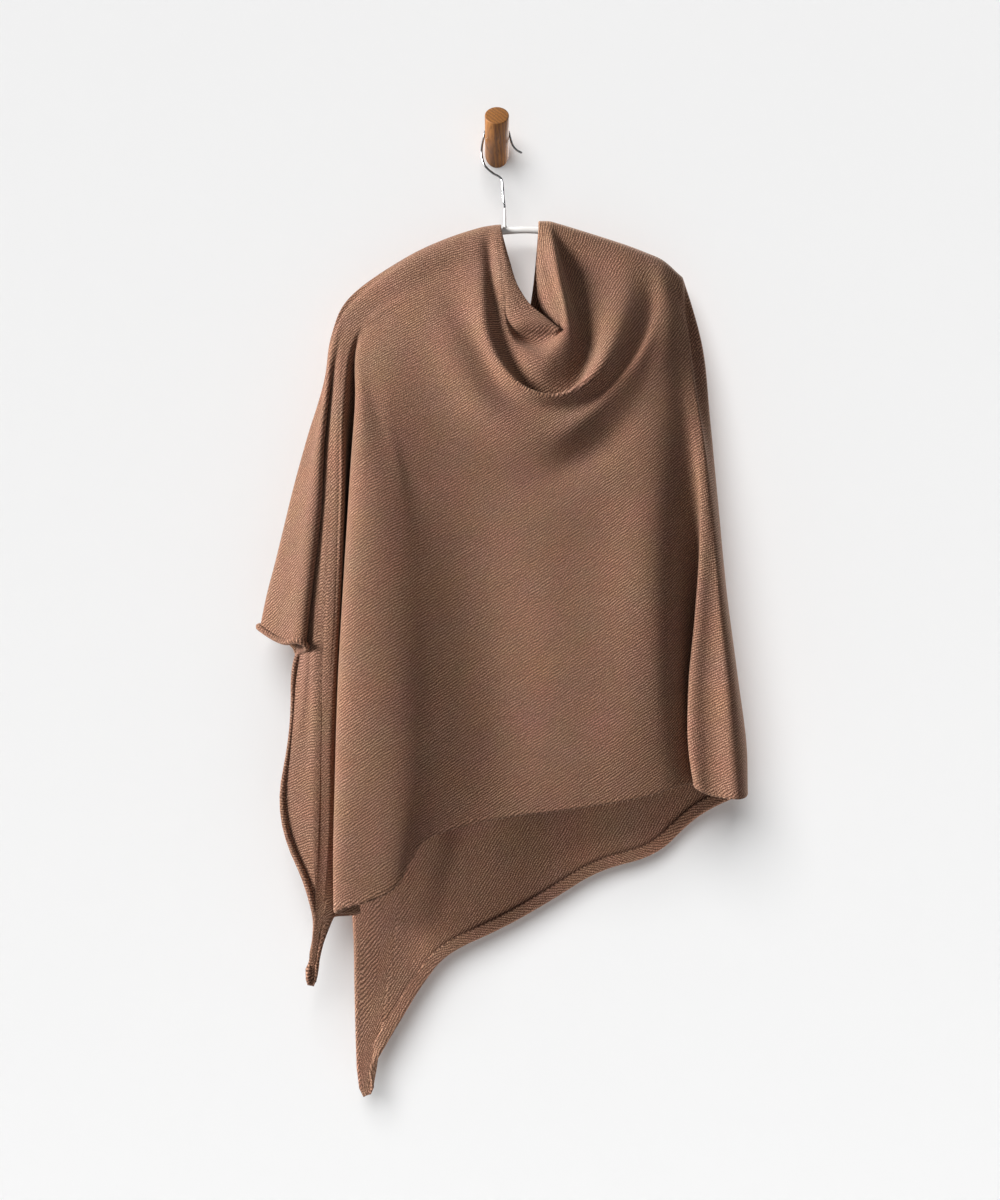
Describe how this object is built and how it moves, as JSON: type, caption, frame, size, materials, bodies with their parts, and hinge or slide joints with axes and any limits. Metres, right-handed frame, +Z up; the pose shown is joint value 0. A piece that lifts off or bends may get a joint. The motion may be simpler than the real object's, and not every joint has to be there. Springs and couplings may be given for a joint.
{
  "type": "knitted poncho on a slim hanger over a round wall peg",
  "caption": "Fine knit poncho with a draped neck, a sleeve fold and a slanting hem, hung on a slim hanger over a tilted round wall peg.",
  "frame": {"origin": "centre of the wall peg's face against the wall, at the level where the peg leaves it", "axes": "+X to the viewer's right, +Y into the wall, +Z up; the garment hangs in front of the wall at -Y"},
  "size_m": [0.5654, 0.1154, 1.1513],
  "materials": {
    "fine_knit": "fine heathered camel-brown jersey knit, matt",
    "hem_knit": "the same knit, turned up or curled at the edges",
    "oiled_oak": "oiled, with the grain along the peg and end grain on its face",
    "white_coating": "satin white coating",
    "chrome_wire": "bright"
  },
  "bodies": {
    "root": {"front_panel": "fine_knit", "back_panel": "fine_knit", "front_edge_roll": "hem_knit", "back_edge_roll": "hem_knit", "front_hem_band": "hem_knit", "back_hem_band": "hem_knit", "wall_peg": "oiled_oak", "hanger_bar": "white_coating", "hanger_hook": "chrome_wire"}
  },
  "joints": []
}
